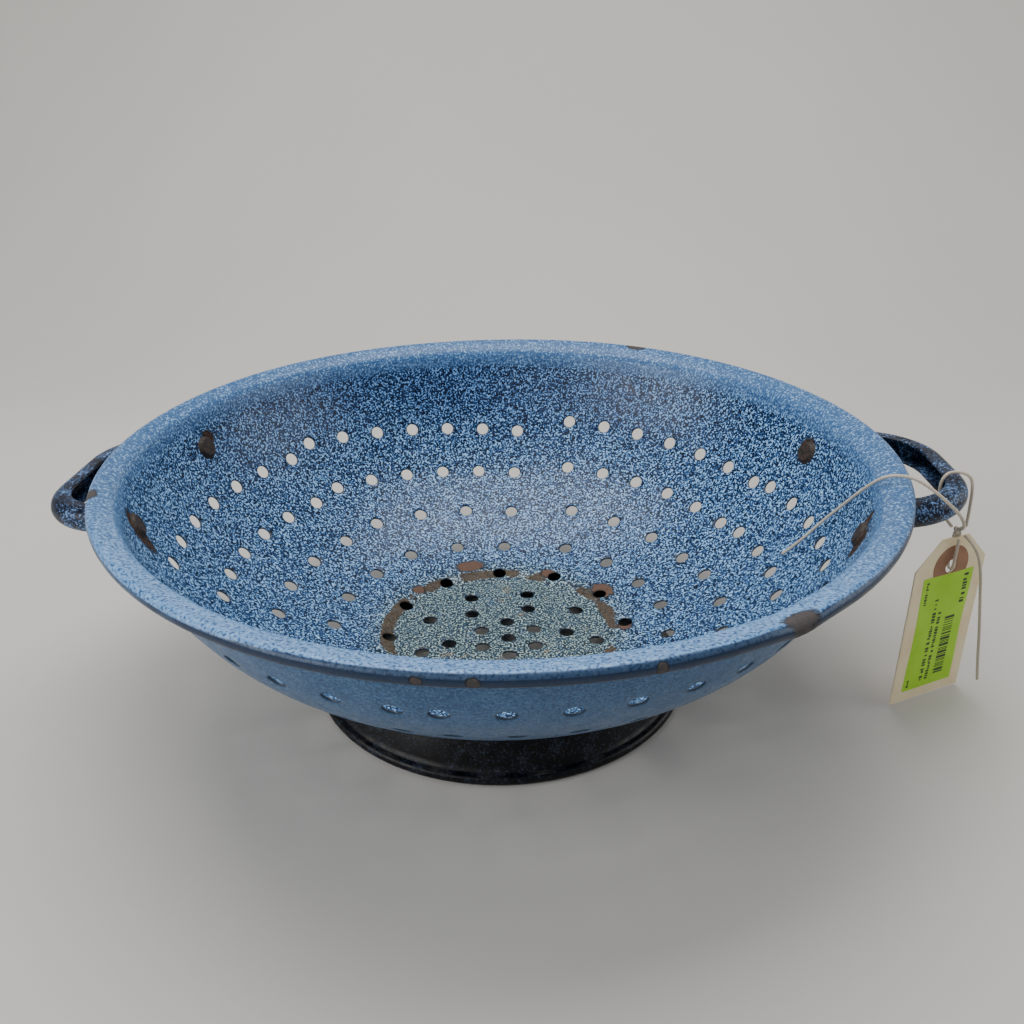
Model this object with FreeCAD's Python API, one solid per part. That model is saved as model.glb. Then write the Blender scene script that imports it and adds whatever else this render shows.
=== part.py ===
import FreeCAD, Part
import math
import os
from FreeCAD import Rotation, Vector

# Footed enamelware colander with two riveted loop handles and a string tag.
# Millimetres, +Z up. The origin is the centre of the foot ring's base, and the
# handles lie along X; the tag hangs from the handle on the +X side.

os.makedirs("parts", exist_ok=True)

# ---- driving dimensions -------------------------------------------------------

SHEET = 1.2                 # steel and both enamel coats together

# Bowl: a flat floor, a wall that is one large arc, a flared lip and a rolled edge.
RIM_R = 146.0               # outermost radius of the rolled edge
RIM_Z = 96.5                # height of the roll's centre
ROLL_R = 2.3                # outer radius of the roll
ROLL_TURN = 265.0           # degrees that the sheet turns round the wire
LIP_SLOPE = 20.0            # degrees that the lip rises outwards
LIP_BEND_R = 5.0            # bend between wall and lip
WALL_R = 105.2              # radius of the wall's arc, inner face
WALL_CENTRE_R = 34.1        # centre of that arc: distance from the axis
WALL_CENTRE_Z = 122.6       # centre of that arc: height
FLOOR_Z = 16.8              # inner face of the floor
FLOOR_R = 44.0              # where the floor ends in a crease
CREASE_R = 48.5             # where the crease meets the wall's arc

# Drain holes. The wall is punched by a segment die that is indexed round the bowl by hand.
HOLE_R = 2.8
ROWS = (                    # radius, holes, pitch in degrees, lag of the row in degrees
    (121.2, 7, 8.4, 0.0),
    (106.2, 6, 9.7, 0.6),
    (87.8, 4, 14.5, 2.7),
    (67.4, 3, 19.0, 3.5),
)
SEGMENTS = (                # direction of its middle, growth of its radii per degree, start of them
    (-4.3, 0.0, 0.0),
    (51.0, 0.045, 0.0),
    (113.7, 0.09, 0.0),
    (169.9, 0.0, 0.0),
    (234.1, 0.0, 3.6),
    (290.4, 0.0, 3.6),
)
# The floor and the crease are punched by two dies that miss the middle a little.
FLOOR_DIE = (3.3, -4.8)
FLOOR_RINGS = (             # radius, holes, direction of the first hole
    (0.0, 1, 0.0),
    (12.3, 6, 35.0),
    (24.2, 6, 12.0),
    (35.8, 9, -1.0),
)
CREASE_DIE = (3.0, -0.5)
CREASE_RING = (48.4, 12, 7.0)

# Foot ring
FOOT_FLANGE_R = 58.5        # inner edge of the flange under the bowl
FOOT_TOP_R = 64.0           # where the cone leaves the bowl
FOOT_WAIST_R = 72.2         # where the cone meets its bead
FOOT_WAIST_Z = 3.2
FOOT_R = 74.7               # outermost radius of the bead
FOOT_PAD_IN = 71.4          # flat base of the bead
FOOT_PAD_OUT = 73.9
FOOT_BEAD_Z = 1.5           # height at which the bead is widest
FOOT_BEAD_IN_Z = 2.0        # height of the corner inside the bead

# Handles: a channel bent to a D, its open side towards the bowl.
# They are bent by hand, so the two differ.
RIGHT_LOOP = {
    "reach": 164.5,         # centre line's furthest distance from the axis
    "half": 35.0,           # half of the distance between the legs
    "bend": 26.0,
    "z": 87.2,              # height over the pivot line
    "rise": 2.2,            # degrees that the loop tilts up about that line
}
LEFT_LOOP = {"reach": 160.2, "half": 36.5, "bend": 23.3, "z": 84.0, "rise": -3.0}
HANDLE_R = 4.6              # half of the channel's height
HANDLE_GAUGE = 1.3
HANDLE_LEG_DEPTH = 2.6      # the flanges past the half-round
HANDLE_ROOT_X = 112.0       # start of the legs before they are trimmed to the bowl
HANDLE_PIVOT_X = 125.0      # the loops tilt about this line

# Rivets
RIVET_R = 2.2
RIVET_HOLE_R = 2.25
RIVET_HEAD_R = 4.9
RIVET_HEAD_H = 1.3
RIVET_HEAD_BEVEL = 1.4
RIVET_SEAT = 0.25           # the flat head stands this far off the curved wall
RIVET_TAIL_R = 3.3
RIVET_TAIL_H = 1.6
RIVET_TAIL_BEVEL = 1.2
RIVET_TAIL_ROOM = 0.3       # free space round the tail where the handle's leg is cut away
LUG_R = 8.5
LUG_T = 1.6
RIVET_Z = 81.6
RIVET_Y = 37.5              # distance of each rivet from the handles' middle line

# Tag and its string
TAG_L = 69.5
TAG_W = 35.0
TAG_T = 0.5
TAG_CORNER = 11.0
TAG_TURN = 26.8             # direction of the tag's width, degrees from +X
TAG_FLOOR_GAP = 0.8
EYE_DROP = 12.0             # the eyelet's centre below the tag's top
EYE_R = 2.8
PATCH_R = 8.5
PATCH_T = 0.25
LABEL_W = 25.0
LABEL_L = 50.0
LABEL_T = 0.15
LABEL_LIFT = 4.5            # bottom of the label above the bottom of the tag
STRING_D = 1.2
KNOT = Vector(168.0, -16.0, 72.6)
KNOT_R = 2.1

# String routes, one point per bend. Every stretch starts or ends beside the knot.
LOOP_ROUTE = (
    (170.6, -16.0, 74.6), (170.6, -16.0, 80.0), (170.0, -15.9, 91.0), (167.9, -15.8, 95.0),
    (162.2, -15.7, 96.2), (158.7, -15.8, 94.0), (158.4, -16.0, 87.0), (160.6, -16.2, 79.6),
    (165.4, -16.2, 74.6),
)
LONG_ROUTE = (
    (167.0, -18.4, 74.2), (164.6, -28.4, 79.4), (159.6, -35.2, 87.0), (153.6, -37.6, 92.8),
    (147.6, -35.6, 97.6), (140.6, -34.0, 101.6), (133.6, -29.6, 100.2), (130.2, -20.6, 91.4),
    (126.6, -11.6, 80.6), (121.4, -4.6, 69.6), (115.4, -1.2, 59.6), (110.6, 1.6, 53.2),
)
SHORT_ROUTE = (
    (170.7, -16.0, 71.0), (174.6, -19.2, 67.6), (178.2, -18.6, 58.0), (180.6, -18.0, 45.6),
    (183.2, -18.0, 31.6), (185.2, -18.0, 18.0), (186.6, -18.2, 9.6),
)


def turned(point, degrees):
    """The point turned about Z."""
    return Rotation(Vector(0, 0, 1), degrees).multVec(point)


def wall_z(radius, offset=0.0):
    """Height of the wall's arc at a radius, with the face moved outwards by the offset."""
    return WALL_CENTRE_Z - math.sqrt((WALL_R + offset) ** 2 - (radius - WALL_CENTRE_R) ** 2)


def wall_radius(z):
    """Radius of the wall's inner face at a height."""
    return WALL_CENTRE_R + math.sqrt(WALL_R ** 2 - (WALL_CENTRE_Z - z) ** 2)


def in_plane(radius, z):
    """A point of a profile, in the XZ plane."""
    return Vector(radius, 0, z)


def revolved(edges):
    """The solid of a closed profile turned about Z."""
    face = Part.Face(Part.Wire(Part.__sortEdges__(edges)))
    return face.revolve(Vector(0, 0, 0), Vector(0, 0, 1), 360)


def arc(centre, radius, start, end):
    """An arc in the XZ plane, from one direction to another in degrees, either way round."""
    def at(degrees):
        turn = math.radians(degrees)
        return in_plane(centre[0] + radius * math.cos(turn), centre[1] + radius * math.sin(turn))
    return Part.Arc(at(start), at((start + end) / 2), at(end)).toShape()


def line(start, end):
    """A straight edge in the XZ plane."""
    return Part.LineSegment(in_plane(*start), in_plane(*end)).toShape()


def polar(centre, radius, degrees):
    """A profile point at a direction and distance from a centre."""
    turn = math.radians(degrees)
    return (centre[0] + radius * math.cos(turn), centre[1] + radius * math.sin(turn))


def direction_from(centre, point):
    """Direction in degrees from a centre to a profile point."""
    return math.degrees(math.atan2(point[1] - centre[1], point[0] - centre[0]))


def lip_bend_centre():
    """Centre of the bend that touches both the wall's arc and the lip's line."""
    roll = (RIM_R - ROLL_R, RIM_Z)
    slope = math.radians(LIP_SLOPE)
    # The bend lies outside the bowl, under the lip, so its centre is below the lip's line
    # by its radius and outside the wall's arc by its radius.
    start = polar(roll, ROLL_R - LIP_BEND_R, LIP_SLOPE + 90)
    reach = WALL_R + LIP_BEND_R
    away = (start[0] - WALL_CENTRE_R, start[1] - WALL_CENTRE_Z)
    along = away[0] * math.cos(slope) + away[1] * math.sin(slope)
    across = away[0] ** 2 + away[1] ** 2 - reach ** 2
    back = along - math.sqrt(along ** 2 - across)
    return (start[0] - back * math.cos(slope), start[1] - back * math.sin(slope))


def bowl_skin(offset):
    """The bowl's face in profile from the axis to the end of the roll, moved out by offset."""
    centre = (WALL_CENTRE_R, WALL_CENTRE_Z)
    roll = (RIM_R - ROLL_R, RIM_Z)
    bend = lip_bend_centre()
    rise = math.degrees(math.atan2(wall_z(CREASE_R) - FLOOR_Z, CREASE_R - FLOOR_R))
    floor_z = FLOOR_Z - offset
    crease_in = (FLOOR_R + offset * math.tan(math.radians(rise / 2)), floor_z)
    wall_r = WALL_R + offset
    wall_start = direction_from(centre, polar((CREASE_R, wall_z(CREASE_R)), offset, rise - 90))
    wall_end = direction_from(centre, bend)
    crease_out = polar(centre, wall_r, wall_start)
    bend_r = LIP_BEND_R - offset
    lip_turn = LIP_SLOPE + 90
    roll_r = ROLL_R - offset
    edges = [
        line((0, floor_z), crease_in),
        line(crease_in, crease_out),
        arc(centre, wall_r, wall_start, wall_end),
        arc(bend, bend_r, wall_end + 180, lip_turn),
        line(polar(bend, bend_r, lip_turn), polar(roll, roll_r, lip_turn)),
        arc(roll, roll_r, lip_turn, lip_turn - ROLL_TURN),
    ]
    return edges, polar(roll, roll_r, lip_turn - ROLL_TURN)


def make_bowl_blank():
    """The bowl before it is punched."""
    inner, inner_end = bowl_skin(0.0)
    outer, outer_end = bowl_skin(SHEET)
    closing = [line(inner_end, outer_end), line((0, FLOOR_Z), (0, FLOOR_Z - SHEET))]
    return revolved(inner + outer + closing)


def hole_cutter(radius, degrees):
    """A punch through the wall or the floor, square to the sheet."""
    if radius < FLOOR_R:
        start = Vector(radius, 0, FLOOR_Z - 2 * SHEET)
        axis = Vector(0, 0, 1)
    else:
        axis = Vector(WALL_CENTRE_R - radius, 0, WALL_CENTRE_Z - wall_z(radius)).normalize()
        start = Vector(radius, 0, wall_z(radius)) - axis * 3 * SHEET
    return Part.makeCylinder(HOLE_R, 5 * SHEET, turned(start, degrees), turned(axis, degrees))


def wall_holes():
    """Radius and direction of every hole in the wall, segment by segment."""
    places = []
    for middle, growth, start in SEGMENTS:
        for radius, count, pitch, lag in ROWS:
            for index in range(count):
                away = (index - (count - 1) / 2) * pitch
                places.append((radius + start + growth * away, middle - lag + away))
    return places


def ring_holes(die, radius, count, first):
    """Radius and direction, from the bowl's axis, of a ring of holes round a die's centre."""
    places = []
    for index in range(count):
        x, y = polar(die, radius, first + index * 360 / count)
        places.append((math.hypot(x, y), math.degrees(math.atan2(y, x))))
    return places


def floor_holes():
    """Radius and direction of every hole in the floor and round its crease."""
    places = ring_holes(CREASE_DIE, *CREASE_RING)
    for ring in FLOOR_RINGS:
        places += ring_holes(FLOOR_DIE, *ring)
    return places


def rivet_frame(degrees):
    """A rivet's place on the wall's inner face and its direction, inside to outside."""
    radius = wall_radius(RIVET_Z)
    place = turned(Vector(radius, 0, RIVET_Z), degrees)
    axis = turned(Vector(radius - WALL_CENTRE_R, 0, RIVET_Z - WALL_CENTRE_Z), degrees)
    return place, axis.normalize()


def rivet_directions(side):
    """Directions of one handle's two rivets, side being 1 for +X and -1 for -X."""
    spread = math.degrees(math.asin(RIVET_Y / wall_radius(RIVET_Z)))
    middle = 0 if side > 0 else 180
    return middle - spread, middle + spread


def make_bowl():
    """The punched bowl, with its four rivet holes."""
    cutters = [hole_cutter(*place) for place in wall_holes() + floor_holes()]
    for side in (1, -1):
        for degrees in rivet_directions(side):
            place, axis = rivet_frame(degrees)
            cutters.append(Part.makeCylinder(RIVET_HOLE_R, 5 * SHEET, place - axis * 2 * SHEET, axis))
    return make_bowl_blank().cut(Part.Compound(cutters))


def make_rim_wire():
    """The wire that the edge is rolled over."""
    return Part.makeTorus(RIM_R - ROLL_R, ROLL_R - SHEET, Vector(0, 0, RIM_Z))


def make_foot_ring():
    """The flared foot: a flange under the bowl, a cone and a bead with a flat base."""
    centre = (WALL_CENTRE_R, WALL_CENTRE_Z)

    def on_wall(radius, offset):
        return (radius, wall_z(radius, offset))

    def along_wall(start_r, end_r, offset):
        start = direction_from(centre, on_wall(start_r, offset))
        end = direction_from(centre, on_wall(end_r, offset))
        return arc(centre, WALL_R + offset, start, end)

    top_in = on_wall(FOOT_FLANGE_R, SHEET)
    top_out = on_wall(FOOT_TOP_R, SHEET)
    waist = (FOOT_WAIST_R, FOOT_WAIST_Z)
    lean = math.atan2(FOOT_WAIST_R - FOOT_TOP_R, top_out[1] - FOOT_WAIST_Z)
    shift = SHEET / math.cos(lean)
    under_in = on_wall(FOOT_FLANGE_R, 2 * SHEET)
    under_r = FOOT_TOP_R - shift
    under_out = on_wall(under_r, 2 * SHEET)
    base_in = (FOOT_WAIST_R - shift, FOOT_BEAD_IN_Z)
    bead = Part.Arc(in_plane(*waist), in_plane(FOOT_R, FOOT_BEAD_Z), in_plane(FOOT_PAD_OUT, 0)).toShape()
    return revolved([
        along_wall(FOOT_FLANGE_R, FOOT_TOP_R, SHEET),
        line(top_out, waist),
        bead,
        line((FOOT_PAD_OUT, 0), (FOOT_PAD_IN, 0)),
        line((FOOT_PAD_IN, 0), base_in),
        line(base_in, under_out),
        along_wall(under_r, FOOT_FLANGE_R, 2 * SHEET),
        line(under_in, top_in),
    ])


def handle_section(half):
    """The channel's section, in the YZ plane at the start of the leg on the -Y side."""
    def at(depth, height):
        # depth runs towards the inside of the loop, which is +Y on this leg
        return Vector(HANDLE_ROOT_X, depth - half, height)

    inner = HANDLE_R - HANDLE_GAUGE
    lip = HANDLE_LEG_DEPTH + HANDLE_GAUGE / 2
    edges = [
        Part.Arc(at(0, HANDLE_R), at(-HANDLE_R, 0), at(0, -HANDLE_R)).toShape(),
        Part.LineSegment(at(0, -HANDLE_R), at(HANDLE_LEG_DEPTH, -HANDLE_R)).toShape(),
        Part.Arc(at(HANDLE_LEG_DEPTH, -HANDLE_R), at(lip, -HANDLE_R + HANDLE_GAUGE / 2),
                 at(HANDLE_LEG_DEPTH, -inner)).toShape(),
        Part.LineSegment(at(HANDLE_LEG_DEPTH, -inner), at(0, -inner)).toShape(),
        Part.Arc(at(0, -inner), at(-inner, 0), at(0, inner)).toShape(),
        Part.LineSegment(at(0, inner), at(HANDLE_LEG_DEPTH, inner)).toShape(),
        Part.Arc(at(HANDLE_LEG_DEPTH, inner), at(lip, HANDLE_R - HANDLE_GAUGE / 2),
                 at(HANDLE_LEG_DEPTH, HANDLE_R)).toShape(),
        Part.LineSegment(at(HANDLE_LEG_DEPTH, HANDLE_R), at(0, HANDLE_R)).toShape(),
    ]
    return Part.Wire(Part.__sortEdges__(edges))


def handle_path(far, half, bend):
    """The D that the channel follows, from the leg on the -Y side to the other."""
    corner_x = far - bend
    chord = bend * math.sin(math.radians(45))

    def at(x, y):
        return Vector(x, y, 0)

    edges = [
        Part.LineSegment(at(HANDLE_ROOT_X, -half), at(corner_x, -half)),
        Part.Arc(at(corner_x, -half), at(corner_x + chord, bend - half - chord), at(far, bend - half)),
        Part.LineSegment(at(far, bend - half), at(far, half - bend)),
        Part.Arc(at(far, half - bend), at(corner_x + chord, half - bend + chord), at(corner_x, half)),
        Part.LineSegment(at(corner_x, half), at(HANDLE_ROOT_X, half)),
    ]
    return Part.Wire([edge.toShape() for edge in edges])


def bowl_envelope():
    """Everything inside the bowl's outer face, up to the roll, to trim what is fixed to it."""
    outer, _ = bowl_skin(SHEET)
    skin = outer[:5]
    top = max((vertex.Point for vertex in skin[-1].Vertexes), key=lambda point: point.z)
    closing = [
        Part.LineSegment(top, Vector(0, 0, top.z)).toShape(),
        Part.LineSegment(Vector(0, 0, top.z), Vector(0, 0, FLOOR_Z - SHEET)).toShape(),
    ]
    return revolved(skin + closing)


def make_handle(side):
    """One loop with its two lugs; side is 1 for +X and -1 for -X."""
    form = RIGHT_LOOP if side > 0 else LEFT_LOOP
    path = handle_path(form["reach"], form["half"], form["bend"])
    loop = path.makePipeShell([handle_section(form["half"])], True, True)
    loop.rotate(Vector(HANDLE_PIVOT_X, 0, 0), Vector(0, -1, 0), form["rise"])
    loop.translate(Vector(0, 0, form["z"]))
    if side < 0:
        loop.rotate(Vector(0, 0, 0), Vector(0, 0, 1), 180)
    handle = loop.cut(bowl_envelope())
    for degrees in rivet_directions(side):
        place, axis = rivet_frame(degrees)
        lug = Part.makeCylinder(LUG_R, LUG_T, place + axis * SHEET, axis)
        room = Part.makeCylinder(RIVET_TAIL_R + RIVET_TAIL_ROOM, 3 * LUG_T,
                                 place + axis * (SHEET + LUG_T), axis)
        hole = Part.makeCylinder(RIVET_HOLE_R, 4 * SHEET, place, axis)
        handle = handle.fuse(lug).cut(room).cut(hole)
    return handle


def make_rivet(degrees):
    """A flat head inside the bowl, a shank, and a low domed tail on the lug."""
    place, axis = rivet_frame(degrees)
    grip = SHEET + LUG_T
    head = Part.makeCone(RIVET_HEAD_R, RIVET_HEAD_R - RIVET_HEAD_BEVEL, RIVET_HEAD_H,
                         place - axis * RIVET_SEAT, axis * -1)
    # the shank runs from inside the head to inside the tail
    shank = Part.makeCylinder(RIVET_R, grip + 3 * RIVET_SEAT, place - axis * 2 * RIVET_SEAT, axis)
    tail = Part.makeCone(RIVET_TAIL_R, RIVET_TAIL_R - RIVET_TAIL_BEVEL, RIVET_TAIL_H,
                         place + axis * grip, axis)
    return head.fuse([shank, tail]).removeSplitter()


def tag_frame(shape):
    """A shape drawn flat with its width along X and its length up, moved to the tag's place."""
    shape.rotate(Vector(0, 0, 0), Vector(0, 0, 1), TAG_TURN)
    shape.translate(Vector(KNOT.x, KNOT.y, TAG_FLOOR_GAP))
    return shape


def plate(outline, thickness, back):
    """A flat solid in the tag's plane, from the depth 'back' towards -Y of the drawing."""
    points = [Vector(x, back, z) for x, z in outline]
    face = Part.Face(Part.makePolygon(points + points[:1]))
    return face.extrude(Vector(0, -thickness, 0))


def eyelet(radius, thickness, back):
    """A disc round the tag's eyelet."""
    centre = Vector(0, back, TAG_L - EYE_DROP)
    return Part.makeCylinder(radius, thickness, centre, Vector(0, -1, 0))


def make_tag_card():
    """The card, its top corners cut off, with the eyelet's hole."""
    half = TAG_W / 2
    shoulder = TAG_L - TAG_CORNER
    outline = [
        (-half, 0), (half, 0), (half, shoulder), (half - TAG_CORNER, TAG_L),
        (TAG_CORNER - half, TAG_L), (-half, shoulder),
    ]
    card = plate(outline, TAG_T, TAG_T / 2)
    return tag_frame(card.cut(eyelet(EYE_R, 2 * TAG_T, TAG_T)))


def make_patch(front):
    """A reinforcing disc glued over the eyelet, on one face of the card."""
    back = -TAG_T / 2 if front else TAG_T / 2 + PATCH_T
    disc = eyelet(PATCH_R, PATCH_T, back)
    if front:
        # the label overlaps the foot of the front patch, so the patch stops at the label
        label_top = LABEL_LIFT + LABEL_L
        below = Part.makeBox(4 * PATCH_R, 4 * TAG_T, label_top, Vector(-2 * PATCH_R, back - 2 * TAG_T, 0))
        disc = disc.cut(below)
    return tag_frame(disc.cut(eyelet(EYE_R, 4 * PATCH_T, back + PATCH_T)))


def make_label():
    """The price label stuck on the front of the card."""
    half = LABEL_W / 2
    top = LABEL_LIFT + LABEL_L
    outline = [(-half, LABEL_LIFT), (half, LABEL_LIFT), (half, top), (-half, top)]
    label = plate(outline, LABEL_T, -TAG_T / 2)
    return tag_frame(label)


def string_tube(name, route):
    """A tube along straight runs joined by tangent arcs; prints its radii and volume."""
    points = [Vector(*point) for point in route]
    edges = []
    radii = []
    start = points[0]
    for before, corner, after in zip(points, points[1:], points[2:]):
        arriving = corner - before
        leaving = after - corner
        turn = arriving.getAngle(leaving)
        radius = 0.45 * min(arriving.Length, leaving.Length) / math.tan(turn / 2)
        trim = radius * math.tan(turn / 2)
        arriving.normalize()
        leaving.normalize()
        into = corner - arriving * trim
        out_of = corner + leaving * trim
        inward = (leaving - arriving).normalize()
        middle = corner + inward * (radius / math.cos(turn / 2) - radius)
        edges.append(Part.LineSegment(start, into).toShape())
        edges.append(Part.Arc(into, middle, out_of).toShape())
        start = out_of
        radii.append(round(radius, 1))
    edges.append(Part.LineSegment(start, points[-1]).toShape())
    path = Part.Wire(edges)
    heading = (points[1] - points[0]).normalize()
    section = Part.Wire(Part.makeCircle(STRING_D / 2, points[0], heading))
    tube = path.makePipeShell([section], True, True)
    expected = math.pi * (STRING_D / 2) ** 2 * path.Length
    print(name, "length", round(path.Length, 1), "radii", radii,
          "volume", round(tube.Volume, 2), "of", round(expected, 2))
    return tube


def tag_strand_route():
    """Down the front of the card, through the eyelet and up its back, beside the knot."""
    along = turned(Vector(1, 0, 0), TAG_TURN)
    front = turned(Vector(0, -1, 0), TAG_TURN)
    eye_z = TAG_FLOOR_GAP + TAG_L - EYE_DROP
    top_z = TAG_FLOOR_GAP + TAG_L

    def at(across, outwards, z):
        return tuple(Vector(KNOT.x, KNOT.y, z) + along * across + front * outwards)

    return (
        at(-0.9, 1.9, KNOT.z - 2.4),
        at(-1.1, 2.2, top_z - 2.0),
        at(-0.9, 1.9, eye_z + 1.4),
        at(-0.3, 1.2, eye_z - 1.0),
        at(0.3, -1.2, eye_z - 1.0),
        at(0.9, -1.9, eye_z + 1.4),
        at(1.1, -2.2, top_z - 2.0),
        at(0.9, -1.9, KNOT.z - 2.4),
    )


nodes = {
    "bowl": make_bowl(),
    "rim_wire": make_rim_wire(),
    "foot_ring": make_foot_ring(),
    "handle_right": make_handle(1),
    "handle_left": make_handle(-1),
    "tag_card": make_tag_card(),
    "tag_patch_front": make_patch(True),
    "tag_patch_back": make_patch(False),
    "tag_label": make_label(),
    "string_knot": Part.makeSphere(KNOT_R, KNOT),
    "string_loop": string_tube("string_loop", LOOP_ROUTE),
    "string_long_end": string_tube("string_long_end", LONG_ROUTE),
    "string_short_end": string_tube("string_short_end", SHORT_ROUTE),
    "string_tag_strand": string_tube("string_tag_strand", tag_strand_route()),
}
for side, side_name in ((1, "right"), (-1, "left")):
    for degrees, place_name in zip(rivet_directions(side), ("a", "b")):
        nodes["rivet_" + side_name + "_" + place_name] = make_rivet(degrees)

for name, shape in nodes.items():
    if not shape.isValid() or len(shape.Solids) != 1:
        print("check", name, "valid", shape.isValid(), "solids", len(shape.Solids))
    shape.exportStep("parts/" + name + ".step")
print("nodes", len(nodes))
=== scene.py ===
import bmesh
import bpy
import math
import random
from bisect import bisect_right
from mathutils import Matrix, Vector
from mathutils.geometry import delaunay_2d_cdt


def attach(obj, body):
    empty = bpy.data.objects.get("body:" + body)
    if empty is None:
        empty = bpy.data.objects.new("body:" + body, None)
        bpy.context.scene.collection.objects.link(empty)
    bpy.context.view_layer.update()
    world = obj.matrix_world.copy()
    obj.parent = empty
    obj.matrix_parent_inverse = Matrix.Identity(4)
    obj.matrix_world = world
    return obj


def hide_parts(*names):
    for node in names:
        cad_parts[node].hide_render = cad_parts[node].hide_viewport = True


# Footed enamelware colander with two riveted loop handles and a string tag. Metres.

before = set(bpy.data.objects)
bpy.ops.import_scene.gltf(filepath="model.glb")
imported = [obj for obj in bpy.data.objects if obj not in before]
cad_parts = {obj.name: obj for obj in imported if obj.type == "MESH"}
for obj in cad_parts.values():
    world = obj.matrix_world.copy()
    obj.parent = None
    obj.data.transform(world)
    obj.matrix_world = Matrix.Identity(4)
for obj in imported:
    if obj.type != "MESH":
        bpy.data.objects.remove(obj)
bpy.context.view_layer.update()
MM = 0.001
SCENE = bpy.context.scene


# ---- camera ---------------------------------------------------------------------------------

def make_camera():
    """A hand-held view from the front, a little left of the middle, looking down 25 degrees."""
    data = bpy.data.cameras.new("camera")
    data.lens = 33.55
    data.sensor_width = 36.0
    camera = bpy.data.objects.new("camera", data)
    SCENE.collection.objects.link(camera)
    forward = Vector((-0.0344, 0.9042, -0.4256)).normalized()
    right = forward.cross(Vector((0, 0, 1))).normalized()
    up = right.cross(forward)
    roll = -0.0051
    turned_right = right * math.cos(roll) + up * math.sin(roll)
    turned_up = up * math.cos(roll) - right * math.sin(roll)
    pose = Matrix((turned_right, turned_up, -forward)).transposed().to_4x4()
    pose.translation = Vector((0.01745, -0.33354, 0.22778))
    camera.matrix_world = pose
    SCENE.camera = camera


make_camera()


# ---- string: routes, splines and twisted tubes --------------------------------------------------

STRING_R = 0.6 * MM
STRING_SIDES = 18
STRING_STEP = 0.28 * MM         # between two rings of the twisted tube
PLY_PITCH = 2.6 * MM            # length of one turn of the three plies
KNOT_STEPS = 96
KNOT = Vector((0.168, -0.016, 0.0726))
TAG_TURN = math.radians(26.8)
ALONG = Vector((math.cos(TAG_TURN), math.sin(TAG_TURN), 0))     # the tag's width
FRONT = Vector((math.sin(TAG_TURN), -math.cos(TAG_TURN), 0))    # the way the tag faces

LOOP_ROUTE = (
    (0.1706, -0.0160, 0.0746), (0.1706, -0.0160, 0.0800), (0.1700, -0.0159, 0.0910),
    (0.1679, -0.0158, 0.0950), (0.1622, -0.0157, 0.0962), (0.1587, -0.0158, 0.0940),
    (0.1584, -0.0160, 0.0870), (0.1606, -0.0162, 0.0796), (0.1654, -0.0162, 0.0746),
)
LONG_ROUTE = (
    (0.1670, -0.0184, 0.0742), (0.1646, -0.0284, 0.0794), (0.1596, -0.0352, 0.0870),
    (0.1536, -0.0376, 0.0928), (0.1476, -0.0356, 0.0976), (0.1406, -0.0340, 0.1016),
    (0.1336, -0.0296, 0.1002), (0.1302, -0.0206, 0.0914), (0.1266, -0.0116, 0.0806),
    (0.1214, -0.0046, 0.0696), (0.1154, -0.0012, 0.0596), (0.1106, 0.0016, 0.0532),
)
SHORT_ROUTE = (
    (0.1707, -0.0160, 0.0710), (0.1746, -0.0192, 0.0676), (0.1782, -0.0186, 0.0580),
    (0.1806, -0.0180, 0.0456), (0.1832, -0.0180, 0.0316), (0.1852, -0.0180, 0.0180),
    (0.1866, -0.0182, 0.0096),
)


def add_object(name, mesh):
    """An object for a mesh, in the scene."""
    obj = bpy.data.objects.new(name, mesh)
    SCENE.collection.objects.link(obj)
    return obj


def from_bmesh(name, mesh, smooth=True, turn_outward=True):
    """An object for a finished bmesh."""
    if turn_outward:
        bmesh.ops.recalc_face_normals(mesh, faces=mesh.faces[:])
    data = bpy.data.meshes.new(name)
    mesh.to_mesh(data)
    mesh.free()
    if smooth:
        data.shade_smooth()
    return add_object(name, data)


def spline_points(route):
    """Points along the smooth curve that has the route as its control points."""
    curve = bpy.data.curves.new("route", "CURVE")
    curve.dimensions = "3D"
    curve.resolution_u = 14
    spline = curve.splines.new("NURBS")
    spline.points.add(len(route) - 1)
    for point, place in zip(spline.points, route):
        point.co = (*place, 1.0)
    spline.order_u = 3
    spline.use_endpoint_u = True
    holder = bpy.data.objects.new("route", curve)
    mesh = bpy.data.meshes.new_from_object(holder)
    points = [vertex.co.copy() for vertex in mesh.vertices]
    bpy.data.objects.remove(holder)
    bpy.data.meshes.remove(mesh)
    bpy.data.curves.remove(curve)
    return points


def resampled(points, step):
    """The same line with points one step apart."""
    lengths = [0.0]
    for a, b in zip(points, points[1:]):
        lengths.append(lengths[-1] + (b - a).length)
    count = max(4, round(lengths[-1] / step))
    result = []
    for index in range(count + 1):
        want = lengths[-1] * index / count
        here = min(max(bisect_right(lengths, want) - 1, 0), len(points) - 2)
        span = lengths[here + 1] - lengths[here]
        result.append(points[here].lerp(points[here + 1], (want - lengths[here]) / span))
    return result, lengths[-1]


def frames_along(points, closed=False):
    """A sideways and an upward direction at each point, carried along without twisting."""
    count = len(points)
    headings = []
    for index in range(count):
        before = points[index - 1] if closed or index > 0 else points[0]
        after = points[(index + 1) % count] if closed or index < count - 1 else points[-1]
        headings.append((after - before).normalized())
    side = headings[0].orthogonal().normalized()
    frames = []
    for heading in headings:
        side = (side - heading * side.dot(heading)).normalized()
        frames.append((side, heading.cross(side)))
    return frames


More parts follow.
